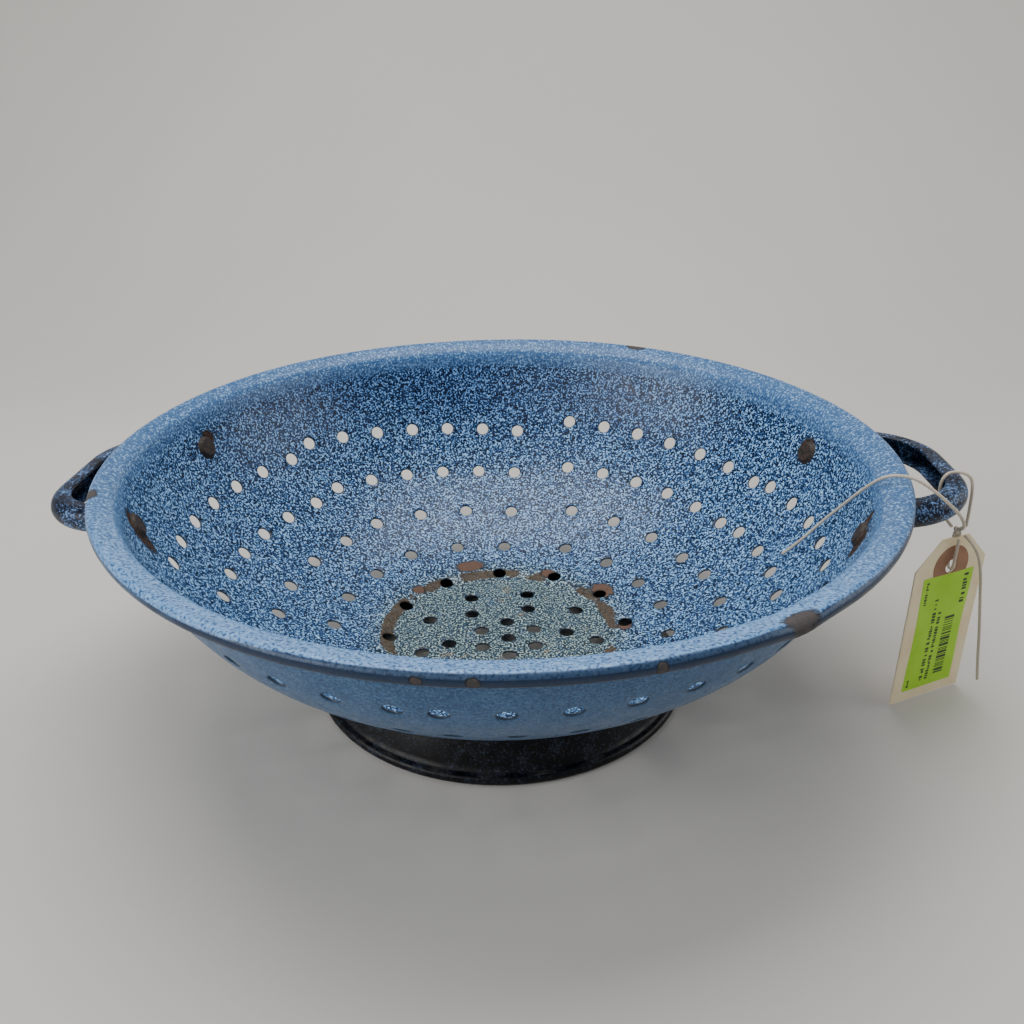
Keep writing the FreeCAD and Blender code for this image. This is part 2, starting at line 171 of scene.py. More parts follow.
def twisted_string(name, points, radius=STRING_R, closed=False):
    """Cotton string: a tube whose section has three plies and turns along its length."""
    line, length = resampled(points, STRING_STEP)
    if closed:
        line = line[:-1]
    frames = frames_along(line, closed)
    rng = random.Random(name)
    mesh = bmesh.new()
    rings = []
    for index, (place, (side, up)) in enumerate(zip(line, frames)):
        travelled = length * index / max(1, len(line) - 1)
        turn = 2 * math.pi * travelled / PLY_PITCH
        ring = []
        for step in range(STRING_SIDES):
            angle = 2 * math.pi * step / STRING_SIDES
            ply = abs(math.sin(1.5 * (angle - turn)))
            size = radius * (0.74 + 0.26 * ply) * (1 + rng.uniform(-0.035, 0.035))
            ring.append(mesh.verts.new(place + side * (size * math.cos(angle))
                                       + up * (size * math.sin(angle))))
        rings.append(ring)
    pairs = list(zip(rings, rings[1:]))
    if closed:
        pairs.append((rings[-1], rings[0]))
    for a, b in pairs:
        for step in range(STRING_SIDES):
            after = (step + 1) % STRING_SIDES
            mesh.faces.new((a[step], a[after], b[after], b[step]))
    if not closed:
        mesh.faces.new(list(reversed(rings[0])))
        mesh.faces.new(rings[-1])
    return from_bmesh(name, mesh, turn_outward=False), line, length


def make_cord(name, route, body):
    """A free string: its tube, attached to its body, with the CAD solid it stands for hidden."""
    piece, line, length = twisted_string(name + "_cord", spline_points(route))
    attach(piece, body)
    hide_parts(name)
    return piece


loop_cord = make_cord("string_loop", LOOP_ROUTE, "colander")
long_cord = make_cord("string_long_end", LONG_ROUTE, "colander")
short_cord = make_cord("string_short_end", SHORT_ROUTE, "tag")


def tag_strand_route():
    """Down the front of the card, through the eyelet and up its back, beside the knot."""
    places = (
        (-0.9, 1.9, 70.2), (-1.1, 2.2, 68.3), (-0.9, 1.9, 59.7), (-0.3, 1.2, 57.3),
        (0.3, -1.2, 57.3), (0.9, -1.9, 59.7), (1.1, -2.2, 68.3), (0.9, -1.9, 70.2),
    )
    return [Vector((KNOT.x, KNOT.y, z * MM)) + ALONG * (across * MM) + FRONT * (out * MM)
            for across, out, z in places]


strand, _, _ = twisted_string("tag_strand", spline_points(tag_strand_route()))
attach(strand, "tag")
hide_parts("string_tag_strand")


def make_knot():
    """The knot: the string wound over and under itself three times."""
    points = []
    for index in range(KNOT_STEPS + 1):
        t = 2 * math.pi * index / KNOT_STEPS
        x = math.sin(t) + 2 * math.sin(2 * t)
        y = math.cos(t) - 2 * math.cos(2 * t)
        z = -math.sin(3 * t)
        points.append(KNOT + (ALONG * (0.52 * x) + FRONT * (0.62 * z) + Vector((0, 0, 0.62 * y))) * MM)
    knot, _, _ = twisted_string("knot", points, radius=0.62 * MM, closed=True)
    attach(knot, "knot")
    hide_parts("string_knot")
    return knot


knot = make_knot()


# ---- bowl ------------------------------------------------------------------------------------

SHEET = 1.2
RIM_R, RIM_Z, ROLL_R, ROLL_TURN = 146.0, 96.5, 2.3, 265.0
LIP_SLOPE, LIP_BEND_R = 20.0, 5.0
WALL_R, WALL_CENTRE_R, WALL_CENTRE_Z = 105.2, 34.1, 122.6
FLOOR_Z, FLOOR_R, CREASE_R = 16.8, 44.0, 48.5
HOLE_R = 2.8
ROWS = ((121.2, 7, 8.4, 0.0), (106.2, 6, 9.7, 0.6), (87.8, 4, 14.5, 2.7), (67.4, 3, 19.0, 3.5))
SEGMENTS = ((-4.3, 0.0, 0.0), (51.0, 0.045, 0.0), (113.7, 0.09, 0.0), (169.9, 0.0, 0.0),
            (234.1, 0.0, 3.6), (290.4, 0.0, 3.6))
FLOOR_DIE = (3.3, -4.8)
FLOOR_RINGS = ((0.0, 1, 0.0), (12.3, 6, 35.0), (24.2, 6, 12.0), (35.8, 9, -1.0))
CREASE_DIE = (3.0, -0.5)
CREASE_RING = (48.4, 12, 7.0)


def wall_z(radius):
    return WALL_CENTRE_Z - math.sqrt(WALL_R ** 2 - (radius - WALL_CENTRE_R) ** 2)


def lip_bend_centre():
    """Centre of the bend that touches both the wall's arc and the lip's line."""
    slope = math.radians(LIP_SLOPE)
    lift = math.radians(LIP_SLOPE + 90)
    start = (RIM_R - ROLL_R + (ROLL_R - LIP_BEND_R) * math.cos(lift),
             RIM_Z + (ROLL_R - LIP_BEND_R) * math.sin(lift))
    away = (start[0] - WALL_CENTRE_R, start[1] - WALL_CENTRE_Z)
    along = away[0] * math.cos(slope) + away[1] * math.sin(slope)
    across = away[0] ** 2 + away[1] ** 2 - (WALL_R + LIP_BEND_R) ** 2
    back = along - math.sqrt(along ** 2 - across)
    return start[0] - back * math.cos(slope), start[1] - back * math.sin(slope)


def bowl_profile():
    """The inner face from the axis to the start of the rolled edge: radius and height, 0.5 mm apart."""
    corners = [(0.0, FLOOR_Z), (FLOOR_R, FLOOR_Z), (CREASE_R, wall_z(CREASE_R))]
    bend = lip_bend_centre()
    wall_end = math.atan2(bend[1] - WALL_CENTRE_Z, bend[0] - WALL_CENTRE_R)
    wall_start = math.atan2(wall_z(CREASE_R) - WALL_CENTRE_Z, CREASE_R - WALL_CENTRE_R)
    for step in range(1, 201):
        angle = wall_start + (wall_end - wall_start) * step / 200
        corners.append((WALL_CENTRE_R + WALL_R * math.cos(angle),
                        WALL_CENTRE_Z + WALL_R * math.sin(angle)))
    for step in range(1, 13):
        angle = wall_end + math.pi + (math.radians(LIP_SLOPE + 90) - wall_end - math.pi) * step / 12
        corners.append((bend[0] + LIP_BEND_R * math.cos(angle), bend[1] + LIP_BEND_R * math.sin(angle)))
    lift = math.radians(LIP_SLOPE + 90)
    corners.append((RIM_R - ROLL_R + ROLL_R * math.cos(lift), RIM_Z + ROLL_R * math.sin(lift)))
    points = [Vector((r, z, 0)) for r, z in corners]
    even, length = resampled(points, 0.5)
    # soften the corners as the enamel does, leaving both ends where they are
    for _ in range(6):
        even = [even[0]] + [(a + b * 2 + c) / 4 for a, b, c in zip(even, even[1:], even[2:])] + [even[-1]]
    return even, length


PROFILE, PROFILE_LENGTH = bowl_profile()
STEP = PROFILE_LENGTH / (len(PROFILE) - 1)


def on_profile(s):
    """Radius, height and outward normal (away from the food) at a distance along the profile."""
    where = min(max(s / STEP, 0.0), len(PROFILE) - 1.001)
    index = int(where)
    here = PROFILE[index].lerp(PROFILE[index + 1], where - index)
    before = PROFILE[max(index - 1, 0)]
    after = PROFILE[min(index + 2, len(PROFILE) - 1)]
    heading = (after - before).normalized()
    if s < STEP:
        heading = Vector((1, 0, 0))
    return here.x, here.y, Vector((heading.y, -heading.x))


def distance_at(radius):
    """Distance along the profile at which it reaches a radius."""
    for index, (a, b) in enumerate(zip(PROFILE, PROFILE[1:])):
        if b.x >= radius:
            return STEP * (index + (radius - a.x) / (b.x - a.x))
    return PROFILE_LENGTH


def hole_places():
    """Every hole: distance along the profile and direction."""
    places = []
    for middle, growth, start in SEGMENTS:
        for radius, count, pitch, lag in ROWS:
            for index in range(count):
                away = (index - (count - 1) / 2) * pitch
                reach = radius + start + growth * away
                places.append((distance_at(reach), math.radians(middle - lag + away)))
    dies = [(FLOOR_DIE, ring) for ring in FLOOR_RINGS] + [(CREASE_DIE, CREASE_RING)]
    for die, (radius, count, first) in dies:
        for index in range(count):
            turn = math.radians(first + index * 360 / count)
            x, y = die[0] + radius * math.cos(turn), die[1] + radius * math.sin(turn)
            places.append((distance_at(math.hypot(x, y)), math.atan2(y, x)))
    return places


DENT_AT, DENT_HALF, DENT_DEEP = -54.2, 3.2, 1.3         # direction and half width in degrees, depth
BELLY_AT, BELLY_HALF, BELLY_HIGH = 104.0, 20.0, 1.7     # radius, half width, height
RIM_TILT = 1.6


def wobble(x, y):
    """The small unevenness of hand-worked sheet, in millimetres of height."""
    angle = math.atan2(y, x)
    far = (math.hypot(x, y) / RIM_R) ** 2
    dent = math.exp(-((math.degrees(angle) - DENT_AT) / DENT_HALF) ** 2) * max(0.0, far - 0.8) * 5
    front = max(0.0, -math.sin(angle)) ** 2
    belly = BELLY_HIGH * front * math.exp(-((math.hypot(x, y) - BELLY_AT) / BELLY_HALF) ** 2)
    waves = 0.35 * math.sin(2 * angle + 0.7) + 0.18 * math.sin(5 * angle + 2.1)
    return far * waves + belly - DENT_DEEP * dent


def settled(x, y, z):
    """Where a point of the true bowl lies on the used one: its rim is a little oval and not quite level."""
    rim = min(max((math.hypot(x, y) - 130.0) / 13.0, 0.0), 1.0)
    rim = rim * rim * (3 - 2 * rim)
    return Vector((x * (1 - 0.008 * rim) + 1.1 * rim, y * (1 + 0.007 * rim),
                   z + wobble(x, y) + RIM_TILT * rim * y / RIM_R)) * MM


def sheet_point(s, angle, depth):
    """A point of the bowl: along the profile, round the axis, and into the sheet from its inner face."""
    radius, height, normal = on_profile(s)
    radius += normal.x * depth
    height += normal.y * depth
    return settled(radius * math.cos(angle), radius * math.sin(angle), height)


HOLE_SIDES = 20
HOLE_RINGS = ((1.5, 0.0), (0.75, 0.06), (0.28, 0.2), (0.0, 0.5))     # beyond the hole's radius, depth
GRID = 3.3
RIM_SIDES = 288
FINE_ROW = 1.1                  # rows this close at the floor's crease and at the lip
LIP_BAND = 13.0                 # of the profile's end
ROLL_STEPS, ROLL_INNER_STEPS = 20, 7
WIRE_R, WIRE_SIDES = 1.04, 10


def hole_ring(s, angle, radius):
    """Profile distance and direction of the points of a circle on the sheet."""
    ring = []
    for step in range(HOLE_SIDES):
        turn = 2 * math.pi * step / HOLE_SIDES
        along = s + radius * math.cos(turn)
        if along < 0:
            ring.append((-along, angle + math.pi))
            continue
        if s < 25:
            # near the axis the sheet is flat, so the circle is drawn on it directly
            x = s * math.cos(angle) + radius * math.cos(angle + turn)
            y = s * math.sin(angle) + radius * math.sin(angle + turn)
            ring.append((math.hypot(x, y), math.atan2(y, x)))
            continue
        ring.append((along, angle + radius * math.sin(turn) / on_profile(along)[0]))
    return ring


def bowl_layout():
    """The unrolled sheet: flat points, the outer boundary, hole boundaries and triangles."""
    holes = hole_places()
    flat = []
    edges = []

    def add(s, angle):
        flat.append((s, angle))
        return len(flat) - 1

    boundary = [add(PROFILE_LENGTH, 2 * math.pi * step / RIM_SIDES) for step in range(RIM_SIDES)]
    edges += list(zip(boundary, boundary[1:] + boundary[:1]))
    rims = []
    for s, angle in holes:
        ring = [add(*place) for place in hole_ring(s, angle, HOLE_R + HOLE_RINGS[0][0])]
        edges += list(zip(ring, ring[1:] + ring[:1]))
        rims.append(ring)
    centres = [Vector((s * math.cos(angle), s * math.sin(angle))) for s, angle in holes]
    clear = HOLE_R + HOLE_RINGS[0][0] + 0.9

    def near_hole(s, angle):
        place = Vector((s * math.cos(angle), s * math.sin(angle)))
        stretch = s / on_profile(s)[0] if s > 1 else 1.0
        return any((place - centre).length < clear * stretch for centre in centres)

    bend_start = PROFILE_LENGTH - LIP_BAND
    ring_s = []
    s = GRID
    while s < PROFILE_LENGTH - 0.5:
        ring_s.append(s)
        close = s > bend_start or abs(s - FLOOR_R) < 6
        s += FINE_ROW if close else GRID
    add(0.0, 0.0)
    for row, s in enumerate(ring_s):
        if s > PROFILE_LENGTH - 12.0:
            count = RIM_SIDES
        else:
            count = max(8, round(2 * math.pi * s / GRID))
        for step in range(count):
            angle = 2 * math.pi * (step + 0.5 * (row % 2)) / count
            if not near_hole(s, angle):
                add(s, angle)
    plane = [Vector((s * math.cos(angle), s * math.sin(angle))) for s, angle in flat]
    found = delaunay_2d_cdt(plane, edges, [], 0, 1e-7)
    points, faces, sources = found[0], found[2], found[3]
    order = [source[0] for source in sources]
    triangles = []
    for face in faces:
        middle = sum((points[index] for index in face), Vector((0, 0))) / 3
        s = middle.length
        stretch = s / on_profile(s)[0] if s > 1 else 1.0
        reach = min((HOLE_R + HOLE_RINGS[0][0] - 0.25) * min(stretch, 1.35) * 0.97, 6.5)
        if any((middle - centre).length < reach for centre in centres):
            if all(order[index] < RIM_SIDES + HOLE_SIDES * len(holes) for index in face):
                continue
        if middle.length < PROFILE_LENGTH:
            triangles.append([order[index] for index in face])
    return flat, boundary, rims, holes, triangles


def make_bowl():
    """The punched, rolled and enamelled bowl."""
    flat, boundary, rims, holes, triangles = bowl_layout()
    mesh = bmesh.new()
    face_side = mesh.verts.layers.float.new("face_side")
    hole_edge = mesh.verts.layers.float.new("hole_edge")
    sides = []
    for outside in (0.0, 1.0):
        verts = []
        for s, angle in flat:
            vert = mesh.verts.new(sheet_point(s, angle, SHEET * outside))
            vert[face_side] = outside
            verts.append(vert)
        for triangle in triangles:
            corners = [verts[index] for index in triangle]
            if len(set(corners)) == 3:
                try:
                    mesh.faces.new(corners)
                except ValueError:
                    pass
        sides.append(verts)
    for (s, angle), rim in zip(holes, rims):
        chain = [[sides[0][index] for index in rim]]
        for outside in (0.0, 1.0):
            rings = []
            for extra, depth in HOLE_RINGS[1:]:
                ring = []
                for place in hole_ring(s, angle, HOLE_R + extra):
                    vert = mesh.verts.new(sheet_point(*place, depth if not outside else SHEET - depth))
                    vert[face_side] = outside
                    vert[hole_edge] = 1.0 - extra / HOLE_RINGS[0][0]
                    ring.append(vert)
                rings.append(ring)
            if outside:
                rings.reverse()
            chain += rings
        chain.append([sides[1][index] for index in rim])
        for a, b in zip(chain, chain[1:]):
            for step in range(HOLE_SIDES):
                after = (step + 1) % HOLE_SIDES
                mesh.faces.new((a[step], b[step], b[after], a[after]))
    # the rolled edge: both faces turn round the wire, and a narrow strip closes them
    lift = LIP_SLOPE + 90
    edge_rings = [[sides[0][index] for index in boundary]]
    for step in range(1, ROLL_STEPS + 1):
        turn = math.radians(lift - ROLL_TURN * step / ROLL_STEPS)
        outside = 0.0 if step < ROLL_INNER_STEPS else 1.0
        edge_rings.append(roll_ring(mesh, face_side, ROLL_R, turn, outside))
    for step in range(ROLL_STEPS, 0, -1):
        turn = math.radians(lift - ROLL_TURN * step / ROLL_STEPS)
        edge_rings.append(roll_ring(mesh, face_side, ROLL_R - SHEET, turn, 1.0))
    edge_rings.append([sides[1][index] for index in boundary])
    for a, b in zip(edge_rings, edge_rings[1:]):
        for step in range(RIM_SIDES):
            after = (step + 1) % RIM_SIDES
            mesh.faces.new((a[step], a[after], b[after], b[step]))
    return from_bmesh("bowl_enamelled", mesh)


def roll_ring(mesh, layer, size, turn, outside):
    """One ring of vertices round the rolled edge."""
    ring = []
    for step in range(RIM_SIDES):
        angle = 2 * math.pi * step / RIM_SIDES
        radius = RIM_R - ROLL_R + size * math.cos(turn)
        height = RIM_Z + size * math.sin(turn)
        vert = mesh.verts.new(settled(radius * math.cos(angle), radius * math.sin(angle), height))
        vert[layer] = outside
        ring.append(vert)
    return ring


def make_wire():
    """The wire inside the rolled edge, with its drawing marks."""
    mesh = bmesh.new()
    rings = []
    for step in range(RIM_SIDES):
        angle = 2 * math.pi * step / RIM_SIDES
        ring = []
        for side in range(WIRE_SIDES):
            turn = 2 * math.pi * side / WIRE_SIDES
            radius = RIM_R - ROLL_R + WIRE_R * math.cos(turn)
            ring.append(mesh.verts.new(settled(radius * math.cos(angle), radius * math.sin(angle),
                                               RIM_Z + WIRE_R * math.sin(turn))))
        rings.append(ring)
    for a, b in zip(rings, rings[1:] + rings[:1]):
        for side in range(WIRE_SIDES):
            after = (side + 1) % WIRE_SIDES
            mesh.faces.new((a[side], b[side], b[after], a[after]))
    return from_bmesh("rim_wire_ring", mesh)


bowl = make_bowl()
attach(bowl, "colander")
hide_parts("bowl")
wire = make_wire()
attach(wire, "colander")
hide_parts("rim_wire")


# ---- foot ring ---------------------------------------------------------------------------------

def lathe(name, profile, sides):
    """A ring turned about the axis from a closed profile of (radius, height) in millimetres."""
    mesh = bmesh.new()
    rings = []
    for step in range(sides):
        angle = 2 * math.pi * step / sides
        uneven = 1 + 0.0012 * math.sin(3 * angle + 0.4)
        rings.append([
            mesh.verts.new(Vector((r * uneven * math.cos(angle), r * uneven * math.sin(angle), z)) * MM)
            for r, z in profile
        ])
    count = len(profile)
    for index in range(sides):
        a, b = rings[index], rings[(index + 1) % sides]
        for step in range(count):
            after = (step + 1) % count
            mesh.faces.new((a[step], b[step], b[after], a[after]))
    return from_bmesh(name, mesh)


def foot_profile():
    """Flange under the bowl, cone, a groove above the rolled bead, and the inner face."""
    def under(radius, offset):
        return WALL_CENTRE_Z - math.sqrt((WALL_R + offset) ** 2 - (radius - WALL_CENTRE_R) ** 2)

    points = [(58.5, under(58.5, 1.25)), (61.0, under(61.0, 1.25)), (63.3, under(63.3, 1.25)),
              (64.2, under(63.8, 1.7) - 0.5)]
    top = points[-1]
    for step in range(1, 9):
        t = step / 8
        points.append((top[0] + (71.9 - top[0]) * t + 0.35 * math.sin(math.pi * t),
                       top[1] + (4.1 - top[1]) * t))
    for step in range(0, 11):
        angle = math.radians(95 - 200 * step / 10)
        points.append((72.75 + 1.9 * math.cos(angle), 1.95 + 1.9 * math.sin(angle)))
    points += [(72.3, 0.03), (71.5, 0.25), (71.0, 1.4)]
    inner_top = (62.9, under(62.9, 2.4))
    for step in range(0, 9):
        t = step / 8
        points.append((70.7 + (inner_top[0] - 70.7) * t, 3.2 + (inner_top[1] - 3.2) * t))
    points += [(61.0, under(61.0, 2.45)), (58.6, under(58.6, 2.4))]
    return points


foot = lathe("foot_enamelled", foot_profile(), 256)
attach(foot, "colander")
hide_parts("foot_ring")


# ---- tag -----------------------------------------------------------------------------------------

TAG_L, TAG_W, TAG_T, TAG_CORNER = 69.5, 35.0, 0.5, 11.0
EYE_DROP, EYE_R, PATCH_R = 12.0, 2.8, 8.5
LABEL_W, LABEL_L, LABEL_LIFT = 25.0, 50.0, 4.5
TAG_GAP = 0.8
EYE_SIDES, PATCH_SIDES = 28, 56


def tag_point(x, z, out):
    """A place on the tag: across, up from its lower edge, and out of its front, in millimetres."""
    curl = 0.35 * math.sin(math.pi * z / TAG_L) + 0.25 * (x / 17.5) ** 2 * (1 - z / TAG_L)
    place = Vector((KNOT.x, KNOT.y, (TAG_GAP + z) * MM))
    return place + ALONG * (x * MM) + FRONT * ((out + curl - 0.2) * MM)


def tag_sheet(name, outline, hole, front, thickness, step=2.2):
    """A thin plate on the tag's curve, cut to an outline, with an optional round hole."""
    flat = list(outline)
    edges = [(index, (index + 1) % len(outline)) for index in range(len(outline))]
    loops = [list(range(len(outline)))]
    if hole:
        first = len(flat)
        for index in range(EYE_SIDES):
            turn = 2 * math.pi * index / EYE_SIDES
            flat.append((hole[0] + hole[2] * math.cos(turn), hole[1] - hole[2] * math.sin(turn)))
        edges += [(first + index, first + (index + 1) % EYE_SIDES) for index in range(EYE_SIDES)]
        loops.append(list(range(first, first + EYE_SIDES)))
    low_x, high_x = min(p[0] for p in outline), max(p[0] for p in outline)
    low_z, high_z = min(p[1] for p in outline), max(p[1] for p in outline)
    x = low_x + step / 2
    while x < high_x:
        z = low_z + step / 2
        while z < high_z:
            inside_hole = hole and math.hypot(x - hole[0], z - hole[1]) < hole[2] + 0.5
            if well_inside(outline, x, z) and not inside_hole:
                flat.append((x, z))
            z += step
        x += step
    found = delaunay_2d_cdt([Vector(p) for p in flat], edges, [], 0, 1e-7)
    order = [source[0] for source in found[3]]
    triangles = []
    for face in found[2]:
        cx = sum(flat[order[index]][0] for index in face) / 3
        cz = sum(flat[order[index]][1] for index in face) / 3
        if hole and math.hypot(cx - hole[0], cz - hole[1]) < hole[2] * 0.99:
            continue
        if well_inside(outline, cx, cz, 0.0):
            triangles.append([order[index] for index in face])
    mesh = bmesh.new()
    faces = [[mesh.verts.new(tag_point(x, z, out)) for x, z in flat] for out in (front, front - thickness)]
    for verts in faces:
        for triangle in triangles:
            mesh.faces.new([verts[index] for index in triangle])
    for loop in loops:
        for a, b in zip(loop, loop[1:] + loop[:1]):
            mesh.faces.new((faces[0][a], faces[0][b], faces[1][b], faces[1][a]))
    return from_bmesh(name, mesh, smooth=False)


def well_inside(outline, x, z, margin=0.6):
    """True where a point is inside an outline by a margin."""
    inside = False
    for (ax, az), (bx, bz) in zip(outline, outline[1:] + outline[:1]):
        if (az > z) != (bz > z) and x < (bx - ax) * (z - az) / (bz - az) + ax:
            inside = not inside
        if margin:
            edge = Vector((bx - ax, bz - az))
            t = min(max(Vector((x - ax, z - az)).dot(edge) / edge.length_squared, 0), 1)
            if (Vector((x - ax, z - az)) - edge * t).length < margin:
                return False
    return inside


def card_outline():
    """The card: small rounds at the lower corners, long cuts at the upper ones."""
    half = TAG_W / 2
    shoulder = TAG_L - TAG_CORNER
    return [(-half + 0.5, 0.0), (half - 0.4, 0.1), (half, 0.6), (half, shoulder),
            (half - TAG_CORNER, TAG_L), (TAG_CORNER - half, TAG_L), (-half, shoulder), (-half, 0.5)]


def patch_outline(front):
    """A round patch; the front one stops where the label covers it."""
    centre = TAG_L - EYE_DROP
    label_top = LABEL_LIFT + LABEL_L
    points = []
    for index in range(PATCH_SIDES):
        turn = 2 * math.pi * index / PATCH_SIDES
        z = centre + PATCH_R * math.sin(turn)
        points.append((PATCH_R * math.cos(turn), z))
    if front:
        cut = math.sqrt(PATCH_R ** 2 - (centre - label_top) ** 2)
        points = [point for point in points if point[1] > label_top + 0.1]
        low = [(cut, label_top + 0.05), (-cut, label_top + 0.05)]
        right = [point for point in points if point[0] >= 0 and point[1] < centre]
        upper = [point for point in points if point not in right]
        points = [low[0]] + right + upper + [low[1]]
    return points


EYE = (0.0, TAG_L - EYE_DROP, EYE_R)
card = tag_sheet("card_sheet", card_outline(), EYE, TAG_T / 2, TAG_T)
patch_front = tag_sheet("patch_front_disc", patch_outline(True), EYE, TAG_T / 2 + 0.24, 0.22)
patch_back = tag_sheet("patch_back_disc", patch_outline(False), EYE, -TAG_T / 2 - 0.02, 0.22)
LABEL_OUTLINE = [(-LABEL_W / 2, LABEL_LIFT), (LABEL_W / 2, LABEL_LIFT),
                 (LABEL_W / 2, LABEL_LIFT + LABEL_L), (-LABEL_W / 2, LABEL_LIFT + LABEL_L)]
label = tag_sheet("label_sticker", LABEL_OUTLINE, None, TAG_T / 2 + 0.13, 0.12)
for piece, node, slot in ((card, "tag_card", "manila_card"),
                          (patch_front, "tag_patch_front", "brown_paper"),
                          (patch_back, "tag_patch_back", "brown_paper"),
                          (label, "tag_label", "green_paper")):
    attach(piece, "tag")
    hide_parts(node)


def make_print():
    """Plain printed bars and dashes on the label, running along the tag's length; no lettering."""
    rng = random.Random(7)
    bars = []
    z = 9.0
    while z < 35.0:
        width = rng.choice((0.35, 0.35, 0.7, 1.05))
        bars.append((2.6, 7.4, z, z + width))
        z += width + rng.choice((0.4, 0.4, 0.75))
    dashes = ((-4.6, -2.9, 7.5, 44.0), (-1.6, -0.1, 7.5, 39.0), (-10.6, -9.4, 43.0, 52.0),
              (8.2, 10.4, 40.0, 52.5), (-10.9, -9.7, 6.0, 9.5))
    for low, high, start, end in dashes:
        z = start
        while z < end:
            width = rng.uniform(0.5, 1.1)
            cut = rng.choice((0.0, 0.0, 0.35, 0.5))
            bars.append((low + cut * rng.choice((0, 1)), high - cut * rng.choice((0, 1)), z, z + width))
            z += width + rng.choice((0.3, 0.35, 0.4, 1.3))
    mesh = bmesh.new()
    for low, high, start, end in bars:
        front = [mesh.verts.new(tag_point(x, z, TAG_T / 2 + 0.16))
                 for x, z in ((low, start), (high, start), (high, end), (low, end))]
        back = [mesh.verts.new(tag_point(x, z, TAG_T / 2 + 0.12))
                for x, z in ((low, start), (high, start), (high, end), (low, end))]
        mesh.faces.new(front)
        mesh.faces.new(list(reversed(back)))
        for a in range(4):
            b = (a + 1) % 4
            mesh.faces.new((front[b], front[a], back[a], back[b]))
    return from_bmesh("label_print", mesh, smooth=False)


print_marks = make_print()
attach(print_marks, "tag")


# ---- materials -----------------------------------------------------------------------------------

class Nodes:
    """A small helper that builds a material's node tree."""

    def __init__(self, name):
        self.material = bpy.data.materials.new(name)
        self.material.use_nodes = True
        self.tree = self.material.node_tree
        self.shader = self.tree.nodes["Principled BSDF"]
        self.coords = self.tree.nodes.new("ShaderNodeTexCoord").outputs["Object"]

    def link(self, value, socket):
        if hasattr(value, "is_output"):
            self.tree.links.new(value, socket)
        else:
            socket.default_value = value

    def math(self, operation, a, b=0.0, clamp=False):
        node = self.tree.nodes.new("ShaderNodeMath")
        node.operation = operation
        node.use_clamp = clamp
        self.link(a, node.inputs[0])
        self.link(b, node.inputs[1])
        return node.outputs[0]

    def times(self, a, b):
        return self.math("MULTIPLY", a, b)

    def plus(self, a, b):
        return self.math("ADD", a, b)

    def noise(self, scale, detail=2.0, rough=0.5, distortion=0.0):
        node = self.tree.nodes.new("ShaderNodeTexNoise")
        self.tree.links.new(self.coords, node.inputs["Vector"])
        node.inputs["Scale"].default_value = scale
        node.inputs["Detail"].default_value = detail
        node.inputs["Roughness"].default_value = rough
        node.inputs["Distortion"].default_value = distortion
        return node.outputs["Fac"]

    def fade(self, value, low, high, to_low=0.0, to_high=1.0):
        """Smooth change from to_low to to_high while the value goes from low to high."""
        node = self.tree.nodes.new("ShaderNodeMapRange")
        node.interpolation_type = "SMOOTHSTEP"
        self.link(value, node.inputs["Value"])
        node.inputs["From Min"].default_value = low
        node.inputs["From Max"].default_value = high
        node.inputs["To Min"].default_value = to_low
        node.inputs["To Max"].default_value = to_high
        return node.outputs["Result"]

    def mix(self, factor, a, b):
        node = self.tree.nodes.new("ShaderNodeMix")
        node.data_type = "RGBA"
        self.link(factor, node.inputs[0])
        self.link(a if hasattr(a, "is_output") else (*a, 1.0), node.inputs[6])
        self.link(b if hasattr(b, "is_output") else (*b, 1.0), node.inputs[7])
        return node.outputs[2]

    def attribute(self, name):
        node = self.tree.nodes.new("ShaderNodeAttribute")
        node.attribute_name = name
        return node.outputs["Fac"]

    def bump(self, height, distance, strength=1.0, normal=None):
        node = self.tree.nodes.new("ShaderNodeBump")
        node.inputs["Strength"].default_value = strength
        node.inputs["Distance"].default_value = distance
        self.link(height, node.inputs["Height"])
        if normal is not None:
            self.link(normal, node.inputs["Normal"])
        return node.outputs["Normal"]

    def polar(self):
        """Radius and height in millimetres and direction in degrees."""
        split = self.tree.nodes.new("ShaderNodeSeparateXYZ")
        self.tree.links.new(self.coords, split.inputs[0])
        x, y, z = split.outputs
        radius = self.math("SQRT", self.plus(self.times(x, x), self.times(y, y)))
        turn = self.times(self.math("ARCTAN2", y, x), 180 / math.pi)
        return self.times(radius, 1000.0), self.times(z, 1000.0), turn

    def finish(self, color, roughness, normal=None, **uniform):
        self.link(color, self.shader.inputs["Base Color"])
        self.link(roughness, self.shader.inputs["Roughness"])
        if normal is not None:
            self.link(normal, self.shader.inputs["Normal"])
        for name, value in uniform.items():
            self.shader.inputs[name.replace("_", " ")].default_value = value
        return self.material


# Chips in the enamel: direction in degrees, radius (height for the wall's) in millimetres, half size
# round the bowl, half size across it.
FLOOR_CHIPS = ((108.0, 53.5, 6.2, 3.6), (35.7, 52.7, 5.4, 4.2), (141.1, 48.4, 2.8, 2.4),
               (67.3, 50.0, 3.2, 2.6), (3.0, 51.0, 3.2, 2.6))
WALL_CHIPS = ((162.0, 84.6, 3.2, 3.2), (-162.1, 80.5, 4.3, 8.2), (17.2, 82.3, 4.9, 4.7),
              (-15.6, 84.8, 2.6, 4.6), (-19.2, 80.6, 3.4, 5.6))
RIM_CHIPS = ((-160.0, 143.4, 3.6, 3.0), (64.8, 145.0, 4.6, 2.6), (124.2, 146.0, 4.6, 1.0),
             (-54.2, 144.6, 5.6, 3.0), (-95.0, 147.4, 1.9, 0.8), (-89.7, 147.4, 1.8, 0.8),
             (-71.6, 147.2, 1.4, 0.8))
NOT_HERE = 9.0                  # added to a chip's distance where it doesn't apply


